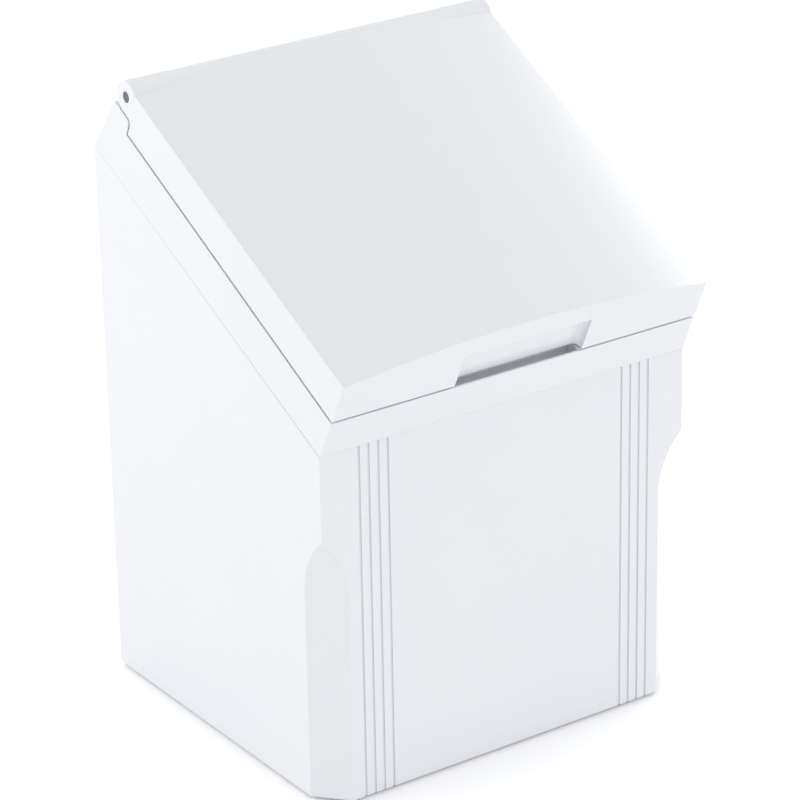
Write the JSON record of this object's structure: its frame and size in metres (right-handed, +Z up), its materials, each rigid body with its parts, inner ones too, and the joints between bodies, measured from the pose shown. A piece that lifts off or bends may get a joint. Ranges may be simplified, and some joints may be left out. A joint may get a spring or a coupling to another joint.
{
  "type": "trash compactor",
  "caption": "Top-loading household trash compactor: white cabinet, sloped hinged lid with a finger recess, and a motor-driven rising ram that presses waste against the locked lid.",
  "frame": {"origin": "middle of the bottom of the bounding box, on the floor under the feet", "axes": "+Z up, -Y towards the front panel, +X to the right when facing the same way as +Y"},
  "size_m": [0.381, 0.383, 0.5785],
  "materials": {
    "shell_white": "satin moulded",
    "cover_grey": "fine texture",
    "sheet_steel": "zinc plated",
    "stainless": "brushed",
    "bright_steel": "turned",
    "bronze": "turned",
    "black_rubber": "matt",
    "dark_plastic": "moulded",
    "nylon": "moulded",
    "motor_paint": "satin",
    "board_green": "lacquered",
    "can_aluminium": "drawn",
    "button_green": "gloss",
    "lamp_amber": "translucent",
    "felt_black": "pleated",
    "magnet_grey": "sintered"
  },
  "bodies": {
    "cabinet": {"casing": "shell_white", "collar": "shell_white", "rear_cover": "cover_grey", "base_tray": "sheet_steel", "rubber_feet": "black_rubber", "chamber_liner": "stainless", "upright_left": "sheet_steel", "upright_right": "sheet_steel", "front_rail": "sheet_steel", "rear_rail": "sheet_steel", "hinge_bush_left": "nylon", "hinge_bush_right": "nylon", "lower_bearing_left": "bright_steel", "lower_bearing_right": "bright_steel", "upper_bearing_left": "bright_steel", "upper_bearing_right": "bright_steel", "drive_motor": "motor_paint", "motor_bracket": "sheet_steel", "drive_belt": "black_rubber", "idler_bracket": "sheet_steel", "control_board": "board_green", "motor_capacitor": "can_aluminium", "power_inlet": "dark_plastic", "control_panel": "cover_grey", "status_lamp": "lamp_amber", "lower_limit_switch": "dark_plastic", "upper_limit_switch": "dark_plastic", "lid_sensor": "dark_plastic", "lock_bracket": "sheet_steel", "lock_solenoid": "motor_paint", "bag_ring": "stainless", "cover_screws": "bright_steel", "frame_screws": "bright_steel"},
    "lid": {"lid_shell": "shell_white", "lid_liner": "stainless", "anvil_plate": "stainless", "lid_gasket": "black_rubber", "hinge_pin_left": "bright_steel", "hinge_pin_right": "bright_steel", "lid_striker": "sheet_steel", "lid_magnet": "magnet_grey", "charcoal_filter": "felt_black", "liner_screws": "bright_steel"},
    "ram": {"ram_plate": "stainless", "ram_wiper": "black_rubber", "ram_beam": "sheet_steel", "screw_nut_left": "bronze", "screw_nut_right": "bronze", "ram_bolts": "bright_steel"},
    "left_screw": {"lift_screw_left": "bright_steel", "screw_pulley_left": "dark_plastic"},
    "right_screw": {"lift_screw_right": "bright_steel", "screw_pulley_right": "dark_plastic"},
    "motor_drive": {"motor_shaft": "bright_steel", "motor_pulley": "bright_steel"},
    "idler": {"idler_roller": "nylon"},
    "hook": {"lock_hook": "sheet_steel"},
    "plunger": {"lock_plunger": "bright_steel"},
    "button": {"start_button": "button_green"},
    "rocker": {"power_rocker": "dark_plastic"}
  },
  "joints": [
    {"name": "lid_hinge", "type": "hinge", "parent": "cabinet", "child": "lid", "pos_m": [0, 0.13784, 0.56402], "axis": [-1, 0, 0], "range_deg": [0, 124]},
    {"name": "ram_lift", "type": "slide", "parent": "cabinet", "child": "ram", "axis": [0, 0, 1], "range_m": [0, 0.24]},
    {"name": "left_screw_spin", "type": "hinge", "parent": "cabinet", "child": "left_screw", "pos_m": [-0.1602, 0.00453, 0.2], "axis": [0, 0, 1], "range_deg": [-5, 4330]},
    {"name": "right_screw_spin", "type": "hinge", "parent": "cabinet", "child": "right_screw", "pos_m": [0.1602, 0.00453, 0.2], "axis": [0, 0, 1], "range_deg": [-5, 4330]},
    {"name": "motor_spin", "type": "hinge", "parent": "cabinet", "child": "motor_drive", "pos_m": [0, 0.14772, 0.03], "axis": [0, 0, 1], "range_deg": [-5, 6850]},
    {"name": "idler_spin", "type": "hinge", "parent": "cabinet", "child": "idler", "pos_m": [0.08926, 0.1038, 0.03], "axis": [0, 0, 1], "range_deg": [-9130, 5]},
    {"name": "lock_hook_swing", "type": "hinge", "parent": "cabinet", "child": "hook", "pos_m": [0, -0.12236, 0.35601], "axis": [-1, 0, 0], "range_deg": [0, 30], "stiffness_Nm_per_rad": 0.05},
    {"name": "lock_plunger_pull", "type": "slide", "parent": "cabinet", "child": "plunger", "axis": [0, -0.8829, -0.4695], "range_m": [0, 0.0062]},
    {"name": "start_button_press", "type": "slide", "parent": "cabinet", "child": "button", "axis": [0, 0.4695, -0.8829], "range_m": [0, 0.002], "stiffness_N_per_m": 400},
    {"name": "power_rocker_tilt", "type": "hinge", "parent": "cabinet", "child": "rocker", "pos_m": [0.034, 0.12381, 0.52065], "axis": [1, 0, 0], "range_deg": [0, 12]}
  ],
  "couplings": [
    {"joint": "left_screw_spin", "follows": "ram_lift", "rad_per_m": 314.16},
    {"joint": "right_screw_spin", "follows": "ram_lift", "rad_per_m": 314.16},
    {"joint": "motor_spin", "follows": "ram_lift", "rad_per_m": 497.42},
    {"joint": "idler_spin", "follows": "ram_lift", "rad_per_m": -663.23},
    {"joint": "lock_plunger_pull", "follows": "lock_hook_swing", "m_per_rad": 0.011459}
  ]
}
